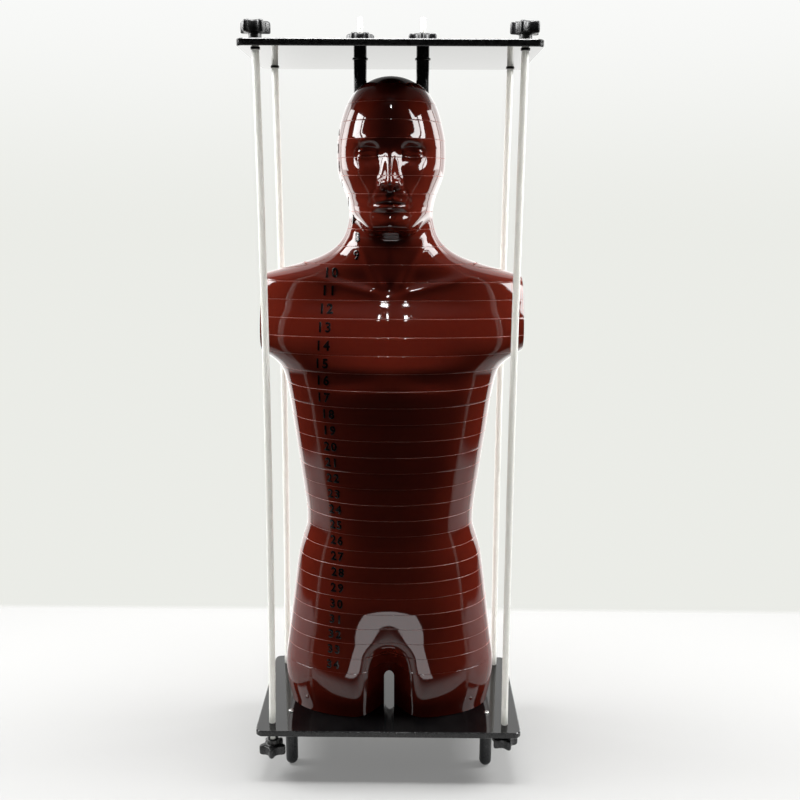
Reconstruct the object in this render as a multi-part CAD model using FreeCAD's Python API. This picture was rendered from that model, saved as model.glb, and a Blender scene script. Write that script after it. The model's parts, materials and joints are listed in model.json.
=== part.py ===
import FreeCAD, Part
import math
import os

# A sectional torso phantom: a head and trunk cast in one shape and sawn across into 36 flat
# slices, stacked on a bottom plate and held down by a top plate on four nylon tie rods.
# Millimetres, +Z up, the figure faces -Y. The origin is on the floor, under the middle of the
# plates. Slice 0 is the crown and slice 35 the base with the two thigh stubs.

# ---- driving dimensions ----
SLICE_COUNT = 36            # crown, 34 equal slices and the base
SLICE_THICKNESS = 25.0
BASE_HEIGHT = 77.6          # slice 35
CROWN_HEIGHT = 40.0         # slice 0
SHOULDER_WIDTH = 384.0      # from one flat arm cut to the other
ARM_OFFSET = 3.0            # the figure's left arm is cut this much longer than the middle
CHEST_DEPTH = 215.0         # breast bone to back
HEAD_ROOM = 24.0            # crown to the underside of the top plate

PLATE_THICKNESS = 9.5
PLATE_CORNER = 11.0
PLATE_MARGIN_X = 23.0       # rod axis to plate edge
PLATE_MARGIN_Y = 26.0

ROD_DIAMETER = 10.0
ROD_INSET = 12.0            # arm cut to rod axis
ROD_GAP = 13.4              # arm to rod, front and back
THREAD_STEP = 1.0           # shoulder where a rod meets a plate
THREAD_CLEARANCE = 0.15     # round a thread in a knob, and past its end
HOLE_CLEARANCE = 0.2        # round a thread in a plate or washer
THREAD_CHAMFER = 0.8

KNOB_DIAMETER = 42.0
KNOB_LOBES = 5
KNOB_HEAD = 15.5
KNOB_HUB_DIAMETER = 18.0
KNOB_HUB = 9.5
KNOB_SCALLOP_RADIUS = 13.0
KNOB_SCALLOP_CENTRE = 27.0
KNOB_EDGE = 1.0
KNOB_ROOF = 3.0             # plastic above a blind thread
LOOSE_DROP = 17.0           # how far one lower knob is backed off

POST_DIAMETER = 19.0
POST_REACH = 0.6944         # post axis, as a share of the crown slice's half width
POST_Y = 6.0
POST_GAP = 0.4              # above the crown
STUD_ENGAGEMENT = 16.0      # in the post
STUD_ABOVE_KNOB = 22.0

LEG_DIAMETER = 19.0
LEG_LENGTH = 80.0
LEG_FLAT = 3.0              # radius of the flat at its tip
LEG_INSET_X = 48.5          # plate edge to leg axis
LEG_INSET_Y = 58.5

SCREW_DIAMETER = 5.0
SCREW_LENGTH = 26.0
SCREW_HEAD_DIAMETER = 8.5
SCREW_HEAD_HEIGHT = 2.6
SCREW_SOCKET = 3.0          # across the flats
SCREW_CLEARANCE = 0.05      # radial

ROD_WASHER_RIM = 1.5        # washer beyond the rod, all round
ROD_WASHER_THICKNESS = 1.8
POST_WASHER_RIM = 1.75      # washer beyond the post
POST_WASHER_THICKNESS = 1.4

# ---- the figure, at its reference size ----
# Each list runs up the figure: height above the bottom plate, then the value there.
REFERENCE_HEIGHT = 967.6
REFERENCE_WIDTH = 384.0
REFERENCE_DEPTH = 215.0
# Half width. It swells past the arm cut between the armpit and the top of the shoulder.
HALF_WIDTH = [
    (0, 159), (28, 165), (60, 168), (104, 163), (165, 155), (230, 146.5), (260, 141), (284, 133.5),
    (300, 129.6), (316, 129.8), (348, 133), (396, 139.3), (455, 147.2), (523, 157.2), (544, 162.3),
    (558, 172), (570, 189), (585, 212), (605, 229), (628, 236), (652, 231), (670, 215), (683, 198.5),
    (692, 166), (700, 137), (709, 108), (718, 91), (728, 78.4), (738, 70.6), (750, 65.4),
    (775, 61.5), (797, 65.3), (811, 70.6), (831, 77.6), (850, 79.3), (872, 79), (898, 74.4),
    (913, 70.3), (927.6, 64.8), (936, 60), (944, 54.6), (951, 47.3), (957.5, 37.5), (962, 28.5),
    (965.5, 18), (967.6, 6),
]
# Depth in front of the middle line, without nose and crotch.
FRONT = [
    (0, 84), (40, 90), (77.6, 92), (128, 91), (178, 93), (228, 90), (278, 90), (328, 94), (378, 97),
    (428, 103), (478, 107), (528, 112), (553, 111.5), (578, 104), (603, 94), (628, 81), (653, 66),
    (678, 57), (703, 53), (728, 49), (738, 51), (745, 62), (751, 84), (757, 92.5), (766, 95), (776, 91),
    (785, 95.5), (792, 95), (800, 96.5), (810, 94), (825, 91), (845, 88.5), (860, 88), (874, 92.5),
    (888, 91), (903, 88.5), (915, 85), (927.6, 79.5), (936, 73.5), (944, 66), (951, 56.5),
    (957.5, 44.5), (962, 33.5), (965.5, 20), (967.6, 5),
]
BACK = [
    (0, 76), (60, 90), (100, 98), (150, 103), (200, 98), (250, 87), (300, 79), (350, 81), (400, 88),
    (450, 95), (500, 100), (553, 103.5), (600, 104), (640, 100), (680, 87), (703, 75), (728, 66),
    (752, 62), (777, 64.5), (800, 73), (820, 85), (845, 97), (870, 103), (895, 103.5), (915, 98),
    (927.6, 91.5), (936, 85.5), (944, 77.5), (951, 68), (957.5, 56), (962, 45), (965.5, 31.5),
    (967.6, 16),
]
# Height of the widest line behind the middle line, and the squareness of the section.
WIDEST = [(0, 0), (700, 0), (750, 4), (800, 10), (870, 12), (945, 11), (967.6, 6)]
SQUARENESS = [
    (0, 2.3), (100, 2.25), (300, 2.1), (450, 2.3), (545, 2.4), (600, 2.5), (660, 2.4), (700, 2.05),
    (745, 2.0), (757, 1.85), (800, 1.9), (850, 2.1), (967.6, 2.05),
]
# Grooves between the thighs, at the front and at the back.
FRONT_GROOVE = [(0, 50), (60, 50), (77.6, 44), (92, 35), (103, 25), (113, 15), (128, 7), (153, 3), (185, 0)]
BACK_GROOVE = [(0, 42), (60, 42), (80, 34), (110, 22), (150, 13), (190, 6), (225, 0)]
GROOVE_WIDTH = 28.0
CLEFT_WIDTH = 22.0
NOSE = [(805, 0), (809, 7), (813, 16), (818, 21), (824, 20), (835, 15), (848, 8.5), (860, 3), (870, 0)]
JAW_RISE = 24.0             # the jaw's lower edge climbs this far from chin to neck
JAW_CHIN = 22.0             # half width of the level part under the chin
JAW_RUN = 38.0
NOSE_WIDTH = 11.0
NOSE_BRIDGE_WIDTH = 7.0
EYE_X = 31.0
EYE_Z = 857.0
EYE_DEPTH = 8.0
EYE_WIDTH = 14.0
EYE_HEIGHT = 12.0
THIGH_GAP = 16.0            # the slot between the thigh stubs
THIGH_GAP_TOP = 60.0
DOME_HEIGHTS = [936, 944, 951, 957.5, 962, 965.5, 967.6]
ARM_HEIGHTS = (545.0, 690.0)

OUTLINE_POINTS = 60
SECTION_STEP = 6.25         # between the sections that a slice is drawn through
PLAIN_STEP = 12.5           # the same where the figure changes slowly
PLAIN_TOP = 520.0           # and up to which height that is
JUT = 5.0                   # how far a cutting tool passes the thing it cuts

# ---- sizes that follow ----
BODY_HEIGHT = BASE_HEIGHT + CROWN_HEIGHT + (SLICE_COUNT - 2) * SLICE_THICKNESS
SCALE_X = SHOULDER_WIDTH / REFERENCE_WIDTH
SCALE_Y = CHEST_DEPTH / REFERENCE_DEPTH
SCALE_Z = BODY_HEIGHT / REFERENCE_HEIGHT


def along(table, h):
    """Smooth value of a table at a height, with no overshoot between its rows."""
    if h <= table[0][0]:
        return table[0][1]
    if h >= table[-1][0]:
        return table[-1][1]
    i = max(k for k in range(len(table) - 1) if table[k][0] <= h)

    def slope(k):
        return (table[k + 1][1] - table[k][1]) / (table[k + 1][0] - table[k][0])

    def tangent(k):
        if k == 0:
            return slope(0)
        if k == len(table) - 1:
            return slope(k - 1)
        before, after = slope(k - 1), slope(k)
        if before * after <= 0:
            return 0.0
        return 2 * before * after / (before + after)

    (h0, v0), (h1, v1) = table[i], table[i + 1]
    run = h1 - h0
    t = (h - h0) / run
    return ((1 + 2 * t) * (1 - t) ** 2 * v0 + t * (1 - t) ** 2 * run * tangent(i)
            + t * t * (3 - 2 * t) * v1 + t * t * (t - 1) * run * tangent(i + 1))


def bell(distance, width):
    return math.exp(-(distance / width) ** 2)


def front_depth(x, h):
    """Depth in front of the middle line, with the jaw's lower edge climbing to the sides."""
    t = min(1.0, max(0.0, (abs(x) - JAW_CHIN) / JAW_RUN))
    return along(FRONT, h - JAW_RISE * t * t * (3 - 2 * t) * bell(h - 762, 32))


def outline_point(turn, h):
    """Point of the figure's outline at reference height h; turn runs from 0 to 1."""
    angle = 2 * math.pi * turn
    c, s = math.cos(angle), math.sin(angle)
    power = 2 / along(SQUARENESS, h)
    middle = along(WIDEST, h)
    x = along(HALF_WIDTH, h) * math.copysign(abs(c) ** power, c)
    if s < 0:
        y = middle - (front_depth(x, h) + middle) * abs(s) ** power
        y += along(FRONT_GROOVE, h) * bell(x, GROOVE_WIDTH)
        rise = min(1.0, max(0.0, (h - 812) / 50))
        y -= along(NOSE, h) * bell(x, NOSE_WIDTH + rise * (NOSE_BRIDGE_WIDTH - NOSE_WIDTH))
        y += EYE_DEPTH * bell(abs(x) - EYE_X, EYE_WIDTH) * bell(h - EYE_Z, EYE_HEIGHT)
    else:
        y = middle + (along(BACK, h) - middle) * s ** power
        y -= along(BACK_GROOVE, h) * bell(x, CLEFT_WIDTH)
    return x * SCALE_X, y * SCALE_Y


def section(z):
    """Closed outline of the figure at height z above the bottom plate."""
    points = []
    for i in range(OUTLINE_POINTS):
        x, y = outline_point(i / OUTLINE_POINTS - 0.25, z / SCALE_Z)
        points.append(FreeCAD.Vector(x, y, z))
    curve = Part.BSplineCurve()
    curve.interpolate(Points=points, PeriodicFlag=True,
                      Parameters=[i / OUTLINE_POINTS for i in range(OUTLINE_POINTS + 1)])
    return Part.Wire([curve.toShape()])


def slice_span(number):
    """Lower and upper height of a slice above the bottom plate."""
    if number == SLICE_COUNT - 1:
        return 0.0, BASE_HEIGHT
    low = BASE_HEIGHT + (SLICE_COUNT - 2 - number) * SLICE_THICKNESS
    return low, (BODY_HEIGHT if number == 0 else low + SLICE_THICKNESS)


def slice_heights(number):
    low, high = slice_span(number)
    if number == 0:
        dome = [h * SCALE_Z for h in DOME_HEIGHTS]
        return [low] + [z for z in dome if low + 1 < z < high - 1] + [high]
    step = PLAIN_STEP if high < PLAIN_TOP * SCALE_Z else SECTION_STEP
    count = max(2, math.ceil((high - low) / step))
    return [low + (high - low) * i / count for i in range(count + 1)]


def cut_arms(solid, low, high):
    """Leaves what lies between the two flat arm cuts."""
    reach = SHOULDER_WIDTH
    for side in (1, -1):
        tool = Part.makeBox(reach, 3 * CHEST_DEPTH, high - low + 2 * JUT,
                            FreeCAD.Vector(0, -1.5 * CHEST_DEPTH, low - JUT))
        inner = ARM_OFFSET * SCALE_X + side * SHOULDER_WIDTH / 2
        tool.translate(FreeCAD.Vector(inner if side > 0 else inner - reach, 0, 0))
        solid = solid.cut(tool)
    return solid


def cut_thigh_slot(solid):
    """Opens the round-topped slot that parts the two thigh stubs."""
    radius = THIGH_GAP / 2
    top = THIGH_GAP_TOP * SCALE_Z
    box = Part.makeBox(THIGH_GAP, 3 * CHEST_DEPTH, top - radius + JUT,
                       FreeCAD.Vector(-radius, -1.5 * CHEST_DEPTH, -JUT))
    arch = Part.makeCylinder(radius, 3 * CHEST_DEPTH, FreeCAD.Vector(0, -1.5 * CHEST_DEPTH, top - radius),
                             FreeCAD.Vector(0, 1, 0))
    return solid.cut(box.fuse(arch))


def figure_slice(number):
    """One slice, standing on the bottom plate's level at z = 0."""
    low, high = slice_span(number)
    solid = Part.makeLoft([section(z) for z in slice_heights(number)], True, False)
    if high > ARM_HEIGHTS[0] * SCALE_Z and low < ARM_HEIGHTS[1] * SCALE_Z:
        solid = cut_arms(solid, low, high)
    if number == SLICE_COUNT - 1:
        solid = cut_thigh_slot(solid)
    return one_solid(solid)


def one_solid(shape):
    return shape.Solids[0] if len(shape.Solids) == 1 else shape


def arm_depth(x):
    """Largest depth of the arm stumps at x, measured from the middle line."""
    depths = []
    for h in range(int(ARM_HEIGHTS[0]), int(ARM_HEIGHTS[1]), 5):
        for i in range(4 * OUTLINE_POINTS):
            px, py = outline_point(i / (4 * OUTLINE_POINTS), h)
            if abs(px) >= x:
                depths.append(abs(py))
    return max(depths)


# ---- the stand ----
PLATE_TOP = LEG_LENGTH + PLATE_THICKNESS              # upper face of the bottom plate
HEAD_PLATE = PLATE_TOP + BODY_HEIGHT + HEAD_ROOM      # underside of the top plate
ROD_X = SHOULDER_WIDTH / 2 - ROD_INSET
ROD_Y = arm_depth(ROD_X - ROD_DIAMETER / 2) + ROD_GAP + ROD_DIAMETER / 2
PLATE_X = 2 * (ROD_X + PLATE_MARGIN_X)
PLATE_Y = 2 * (ROD_Y + PLATE_MARGIN_Y)
LEG_X = PLATE_X / 2 - LEG_INSET_X
LEG_Y = PLATE_Y / 2 - LEG_INSET_Y
POST_X = POST_REACH * along(HALF_WIDTH, REFERENCE_HEIGHT * (1 - CROWN_HEIGHT / BODY_HEIGHT)) * SCALE_X
KNOB_HEIGHT = KNOB_HUB + KNOB_HEAD
KNOB_BORE = KNOB_HEIGHT - KNOB_ROOF
THREAD_DIAMETER = ROD_DIAMETER - 2 * THREAD_STEP      # rod ends and post studs
THREAD_REACH = KNOB_BORE - THREAD_CLEARANCE           # rod end beyond a plate
THREAD_HOLE = THREAD_DIAMETER / 2 + HOLE_CLEARANCE
CORNERS = {"front_left": (-1, -1), "front_right": (1, -1), "rear_left": (-1, 1), "rear_right": (1, 1)}
SIDES = {"left": -1, "right": 1}


def cylinder(radius, length, x, y, z):
    return Part.makeCylinder(radius, length, FreeCAD.Vector(x, y, z))


def plate(z, holes):
    """Plate with round corners, its underside at z; holes are (x, y, radius)."""
    body = Part.makeBox(PLATE_X, PLATE_Y, PLATE_THICKNESS, FreeCAD.Vector(-PLATE_X / 2, -PLATE_Y / 2, z))
    uprights = [e for e in body.Edges if abs(e.Vertexes[0].Z - e.Vertexes[1].Z) > PLATE_THICKNESS / 2]
    body = body.makeFillet(PLATE_CORNER, uprights)
    for x, y, radius in holes:
        body = body.cut(cylinder(radius, PLATE_THICKNESS + 2 * JUT, x, y, z - JUT))
    return one_solid(body)


def rod_holes():
    return [(sx * ROD_X, sy * ROD_Y, THREAD_HOLE) for sx, sy in CORNERS.values()]


def bottom_plate():
    screws = [(sx * LEG_X, sy * LEG_Y, SCREW_DIAMETER / 2 + HOLE_CLEARANCE) for sx, sy in CORNERS.values()]
    return plate(LEG_LENGTH, rod_holes() + screws)


def top_plate():
    studs = [(side * POST_X, POST_Y, THREAD_HOLE) for side in SIDES.values()]
    return plate(HEAD_PLATE, rod_holes() + studs)


def threaded_pin(length, x, y, z):
    """Thread drawn as a plain pin with both ends chamfered."""
    pin = cylinder(THREAD_DIAMETER / 2, length, x, y, z)
    return pin.makeChamfer(THREAD_CHAMFER, [e for e in pin.Edges if e.Closed])


def tie_rod(x, y):
    """Nylon rod between the plates, with a thinner threaded end through each of them."""
    shoulder = HEAD_PLATE - ROD_WASHER_THICKNESS
    shank = cylinder(ROD_DIAMETER / 2, shoulder - PLATE_TOP, x, y, PLATE_TOP)
    bottom = LEG_LENGTH - THREAD_REACH
    top = HEAD_PLATE + PLATE_THICKNESS + THREAD_REACH
    return one_solid(shank.fuse(threaded_pin(top - bottom, x, y, bottom)).removeSplitter())


def star_knob(through):
    """Five-lobed knob with its hub down and the end of the hub at z = 0."""
    head = cylinder(KNOB_DIAMETER / 2, KNOB_HEAD, 0, 0, KNOB_HUB)
    for i in range(KNOB_LOBES):
        angle = 2 * math.pi * (i + 0.5) / KNOB_LOBES - math.pi / 2
        head = head.cut(cylinder(KNOB_SCALLOP_RADIUS, KNOB_HEAD + 2 * JUT, KNOB_SCALLOP_CENTRE * math.cos(angle),
                                 KNOB_SCALLOP_CENTRE * math.sin(angle), KNOB_HUB - JUT))
    rims = [e for e in head.Edges if abs(e.BoundBox.ZMax - e.BoundBox.ZMin) < 1e-6]
    head = head.makeFillet(KNOB_EDGE, rims)
    hub = cylinder(KNOB_HUB_DIAMETER / 2, KNOB_HUB + KNOB_HEAD / 2, 0, 0, 0)
    hub = hub.makeChamfer(KNOB_EDGE, [e for e in hub.Edges if e.Closed and e.BoundBox.ZMax < 1e-6])
    depth = KNOB_HEIGHT + JUT if through else KNOB_BORE
    bore = cylinder(THREAD_DIAMETER / 2 + THREAD_CLEARANCE, depth + JUT, 0, 0, -JUT)
    return one_solid(head.fuse(hub).cut(bore).removeSplitter())


def placed_knob(x, y, z, turn, upside_down=False, through=False):
    knob = star_knob(through)
    knob.rotate(FreeCAD.Vector(0, 0, 0), FreeCAD.Vector(0, 0, 1), turn)
    if upside_down:
        knob.rotate(FreeCAD.Vector(0, 0, 0), FreeCAD.Vector(0, 1, 0), 180)
    knob.translate(FreeCAD.Vector(x, y, z))
    return knob


def post(x, crown):
    """Hold-down post, its lower end cut to the slope of the crown."""
    low = PLATE_TOP + BODY_HEIGHT - CROWN_HEIGHT + POST_GAP
    high = HEAD_PLATE - POST_WASHER_THICKNESS
    shaft = cylinder(POST_DIAMETER / 2, high - low, x, POST_Y, low)
    clear = crown.copy()
    clear.translate(FreeCAD.Vector(0, 0, POST_GAP))
    hole = cylinder(THREAD_DIAMETER / 2, STUD_ENGAGEMENT, x, POST_Y, high - STUD_ENGAGEMENT)
    pieces = shaft.cut(clear).cut(hole).Solids
    return max(pieces, key=lambda s: s.BoundBox.ZMax)


def post_stud(x):
    low = HEAD_PLATE - POST_WASHER_THICKNESS - STUD_ENGAGEMENT
    high = HEAD_PLATE + PLATE_THICKNESS + KNOB_HEIGHT + STUD_ABOVE_KNOB
    return threaded_pin(high - low, x, POST_Y, low)


def washer(radius, thickness, x, y):
    """Washer under the top plate, bored for a thread."""
    z = HEAD_PLATE - thickness
    return cylinder(radius, thickness, x, y, z).cut(cylinder(THREAD_HOLE, thickness + 2 * JUT, x, y, z - JUT))


def leg(x, y):
    """Leg with a ball end that has a small flat to stand on, and a screw hole in its top."""
    radius = LEG_DIAMETER / 2
    sink = math.sqrt(radius ** 2 - LEG_FLAT ** 2)      # ball centre above the flat
    body = cylinder(radius, LEG_LENGTH - sink, x, y, sink)
    body = body.fuse(Part.makeSphere(radius, FreeCAD.Vector(x, y, sink)))
    below = Part.makeBox(LEG_DIAMETER * 2, LEG_DIAMETER * 2, LEG_DIAMETER,
                         FreeCAD.Vector(x - LEG_DIAMETER, y - LEG_DIAMETER, -LEG_DIAMETER))
    depth = SCREW_LENGTH - PLATE_THICKNESS + 1.0
    hole = cylinder(SCREW_DIAMETER / 2 + SCREW_CLEARANCE, depth + JUT, x, y, LEG_LENGTH - depth)
    return one_solid(body.removeSplitter().cut(below).cut(hole))


def leg_screw(x, y):
    """Button-head screw down through the bottom plate into a leg."""
    shank = cylinder(SCREW_DIAMETER / 2, SCREW_LENGTH, x, y, PLATE_TOP - SCREW_LENGTH)
    head = cylinder(SCREW_HEAD_DIAMETER / 2, SCREW_HEAD_HEIGHT, x, y, PLATE_TOP)
    head = head.makeFillet(SCREW_HEAD_HEIGHT * 0.6, [e for e in head.Edges
                                                    if e.Closed and e.BoundBox.ZMin > PLATE_TOP + 1])
    corners = [FreeCAD.Vector(x + SCREW_SOCKET / math.sqrt(3) * math.cos(math.pi * i / 3),
                              y + SCREW_SOCKET / math.sqrt(3) * math.sin(math.pi * i / 3),
                              PLATE_TOP + SCREW_HEAD_HEIGHT * 0.35) for i in range(7)]
    socket = Part.Face(Part.makePolygon(corners)).extrude(FreeCAD.Vector(0, 0, SCREW_HEAD_HEIGHT))
    return one_solid(shank.fuse(head).removeSplitter().cut(socket))


# ---- all the nodes ----
nodes = {}
for number in range(SLICE_COUNT):
    solid = figure_slice(number)
    solid.translate(FreeCAD.Vector(0, 0, PLATE_TOP))
    nodes["slice_%02d" % number] = solid

nodes["bottom_plate"] = bottom_plate()
nodes["top_plate"] = top_plate()
KNOB_TURNS = {"top_front_left": 0, "top_front_right": 14, "top_rear_left": 30, "top_rear_right": 50,
              "bottom_front_left": 36, "bottom_front_right": 16, "bottom_rear_left": 5,
              "bottom_rear_right": 60, "post_left": 2, "post_right": 31}
for corner, (sx, sy) in CORNERS.items():
    x, y = sx * ROD_X, sy * ROD_Y
    nodes["tie_rod_" + corner] = tie_rod(x, y)
    nodes["knob_top_" + corner] = placed_knob(x, y, HEAD_PLATE + PLATE_THICKNESS, KNOB_TURNS["top_" + corner])
    drop = LOOSE_DROP if corner == "front_left" else 0.0
    nodes["knob_bottom_" + corner] = placed_knob(x, y, LEG_LENGTH - drop, KNOB_TURNS["bottom_" + corner], True)
for side, sign in SIDES.items():
    x = sign * POST_X
    nodes["post_" + side] = post(x, nodes["slice_00"])
    nodes["post_stud_" + side] = post_stud(x)
    nodes["knob_post_" + side] = placed_knob(x, POST_Y, HEAD_PLATE + PLATE_THICKNESS,
                                             KNOB_TURNS["post_" + side], False, True)

nodes["legs"] = Part.Compound([leg(sx * LEG_X, sy * LEG_Y) for sx, sy in CORNERS.values()])
nodes["leg_screws"] = Part.Compound([leg_screw(sx * LEG_X, sy * LEG_Y) for sx, sy in CORNERS.values()])
nodes["rod_washers"] = Part.Compound([
    washer(ROD_DIAMETER / 2 + ROD_WASHER_RIM, ROD_WASHER_THICKNESS, sx * ROD_X, sy * ROD_Y)
    for sx, sy in CORNERS.values()])
nodes["post_washers"] = Part.Compound([
    washer(POST_DIAMETER / 2 + POST_WASHER_RIM, POST_WASHER_THICKNESS, sign * POST_X, POST_Y)
    for sign in SIDES.values()])

os.makedirs("parts", exist_ok=True)
for name, shape in nodes.items():
    shape.exportStep("parts/" + name + ".step")
    print(name, "valid" if shape.isValid() else "INVALID", len(shape.Solids), round(shape.Volume / 1000, 1), "cm3")
print("rod spacing", round(2 * ROD_X, 1), "x", round(2 * ROD_Y, 1), "plates", round(PLATE_X, 1), "x",
      round(PLATE_Y, 1), "height", round(HEAD_PLATE + PLATE_THICKNESS + KNOB_HEIGHT + STUD_ABOVE_KNOB, 1))
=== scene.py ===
import json
import math

import bmesh
import bpy
import numpy as np
from mathutils import Matrix, Vector
from mathutils.bvhtree import BVHTree


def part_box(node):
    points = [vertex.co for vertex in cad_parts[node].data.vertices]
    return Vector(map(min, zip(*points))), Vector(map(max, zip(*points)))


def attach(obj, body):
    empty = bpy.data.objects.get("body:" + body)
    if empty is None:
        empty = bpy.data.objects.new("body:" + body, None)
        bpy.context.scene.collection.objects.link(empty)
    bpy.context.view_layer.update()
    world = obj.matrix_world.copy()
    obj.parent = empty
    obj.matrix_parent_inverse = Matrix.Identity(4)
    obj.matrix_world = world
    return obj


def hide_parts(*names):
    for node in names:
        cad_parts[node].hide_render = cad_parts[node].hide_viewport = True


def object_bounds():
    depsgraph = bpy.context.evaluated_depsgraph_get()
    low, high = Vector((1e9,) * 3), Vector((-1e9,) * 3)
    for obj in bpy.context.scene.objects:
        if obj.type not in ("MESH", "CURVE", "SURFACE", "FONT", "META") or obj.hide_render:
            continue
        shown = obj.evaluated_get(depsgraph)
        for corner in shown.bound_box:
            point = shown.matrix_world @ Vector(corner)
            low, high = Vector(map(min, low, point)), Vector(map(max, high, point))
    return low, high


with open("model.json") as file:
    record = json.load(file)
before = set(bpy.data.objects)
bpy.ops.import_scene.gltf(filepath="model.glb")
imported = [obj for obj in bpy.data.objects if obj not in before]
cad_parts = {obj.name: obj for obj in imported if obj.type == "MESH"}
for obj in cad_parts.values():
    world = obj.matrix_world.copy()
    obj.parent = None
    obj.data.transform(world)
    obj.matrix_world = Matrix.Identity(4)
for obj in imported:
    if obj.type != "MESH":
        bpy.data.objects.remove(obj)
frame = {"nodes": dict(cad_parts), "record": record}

bl_info = {
    "name": "Sectional Torso Phantom",
    "version": (1, 0, 0),
    "blender": (4, 5, 0),
    "location": "View3D > Sidebar > Phantom",
    "description": "A head-and-trunk phantom sawn into slices, in its clamping stand",
    "category": "Object",
}

CAD_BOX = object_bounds()
MM = 0.001
PLATE_CORNER = 0.011
SHOULDER = 0.001            # step from a rod's shank to its thread
LEAD_IN = 0.0012            # plain chamfered end of a thread
KNOB_RADIUS, KNOB_LOBES = 0.021, 5
SCALLOP_RADIUS, SCALLOP_CENTRE = 0.013, 0.027
HUB_RADIUS, HUB_SHARE = 0.009, 0.38
KNOB_BORE = 0.00415
BLIND_DEPTH = 0.0218        # of the bore in a rod's knob
LEG_RADIUS, LEG_FLAT = 0.0095, 0.003
SCREW_HEAD, SCREW_SHANK, SCREW_SOCKET = 0.00425, 0.0025, 0.0015
WASHER_BORE = 0.0042
STUD_OF = {"knob_post_left": "post_stud_left", "knob_post_right": "post_stud_right"}
CORNERS = {"front_left": (-1, -1), "front_right": (1, -1), "rear_left": (-1, 1), "rear_right": (1, 1)}
SLICES = sorted(n for n in frame["nodes"] if n.startswith("slice_"))
BODY_OF = {n: b for b, members in frame["record"]["behaviour"]["bodies"].items() for n in members}

# ---- the figure's form in millimetres, as heights above the bottom plate and values there ----
REFERENCE_HEIGHT = 967.6
REFERENCE_WIDTH = 384.0
REFERENCE_DEPTH = 215.5
LEVEL_STEP = 0.25
HALF_WIDTH = [
    (0, 159), (28, 165), (60, 168), (104, 163), (165, 155), (230, 146.5), (260, 141), (284, 133.5),
    (300, 129.6), (316, 129.8), (348, 133), (396, 139.3), (455, 147.2), (523, 157.2), (544, 162.3),
    (558, 172), (570, 189), (585, 212), (605, 229), (628, 236), (652, 231), (670, 215), (683, 198.5),
    (692, 166), (700, 137), (709, 108), (718, 91), (728, 78.4), (738, 70.6), (750, 65.4),
    (775, 61.5), (797, 65.3), (811, 70.6), (831, 77.6), (850, 79.3), (872, 79), (898, 74.4),
    (913, 70.3), (927.6, 64.8), (936, 60), (944, 54.6), (951, 47.3), (957.5, 37.5), (962, 28.5),
    (965.5, 18), (967.6, 6),
]
FRONT = [
    (0, 84), (40, 90), (77.6, 92), (128, 91), (178, 93), (228, 90), (278, 90), (328, 94), (378, 97),
    (428, 103), (478, 107), (528, 112), (553, 111.5), (578, 104), (603, 94), (628, 81), (653, 66),
    (678, 57), (703, 53), (728, 49), (738, 51), (745, 62), (751, 84), (757, 92.5), (766, 95), (776, 93.2),
    (785, 95.5), (792, 95), (800, 96.5), (810, 94), (825, 91), (845, 88.5), (860, 88), (874, 92.5),
    (888, 91), (903, 88.5), (915, 85), (927.6, 79.5), (936, 73.5), (944, 66), (951, 56.5),
    (957.5, 44.5), (962, 33.5), (965.5, 20), (967.6, 5),
]
BACK = [
    (0, 76), (60, 90), (100, 98), (150, 103), (200, 98), (250, 87), (300, 79), (350, 81), (400, 88),
    (450, 95), (500, 100), (553, 103.5), (600, 104), (640, 100), (680, 87), (703, 75), (728, 66),
    (752, 62), (777, 64.5), (800, 73), (820, 85), (845, 97), (870, 103), (895, 103.5), (915, 98),
    (927.6, 91.5), (936, 85.5), (944, 77.5), (951, 68), (957.5, 56), (962, 45), (965.5, 31.5),
    (967.6, 16),
]
WIDEST = [(0, 0), (700, 0), (750, 4), (800, 10), (870, 12), (945, 11), (967.6, 6)]
SQUARENESS = [
    (0, 2.3), (100, 2.25), (300, 2.1), (450, 2.3), (545, 2.4), (600, 2.5), (660, 2.4), (700, 2.05),
    (745, 2.0), (757, 1.85), (800, 1.9), (850, 2.1), (967.6, 2.05),
]
FRONT_GROOVE = [(0, 50), (60, 50), (77.6, 44), (92, 35), (103, 25), (113, 15), (128, 7), (153, 3), (185, 0)]
BACK_GROOVE = [(0, 42), (60, 42), (80, 34), (110, 22), (150, 13), (190, 6), (225, 0)]
NOSE = [(805, 0), (809, 7), (813, 16), (818, 21), (824, 20), (835, 15), (848, 8.5), (860, 3), (870, 0)]
CROWN_START = 930.0
THIGH_SLOT = (16.0, 60.0)
# Sideways place of the stamped numbers, by slice number.
NUMBER_X = [
    (2, -75), (3, -76), (4, -75), (5, -71), (6, -62), (7, -55), (8, -48), (9, -49), (10, -86), (12, -92),
    (15, -97), (17, -95.5), (18, -89), (21, -85), (24, -81), (28, -78), (31, -81.5), (34, -86.5),
]


def colour(name, about, value):
    return bpy.props.FloatVectorProperty(name=name, description=about, default=value, subtype="COLOR",
                                         min=0, max=1)


def length(name, about, metres):
    return bpy.props.FloatProperty(name=name, description=about, default=metres, unit="LENGTH", precision=5)


def strength(name, about, value):
    return bpy.props.FloatProperty(name=name, description=about, default=value, min=0)


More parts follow.
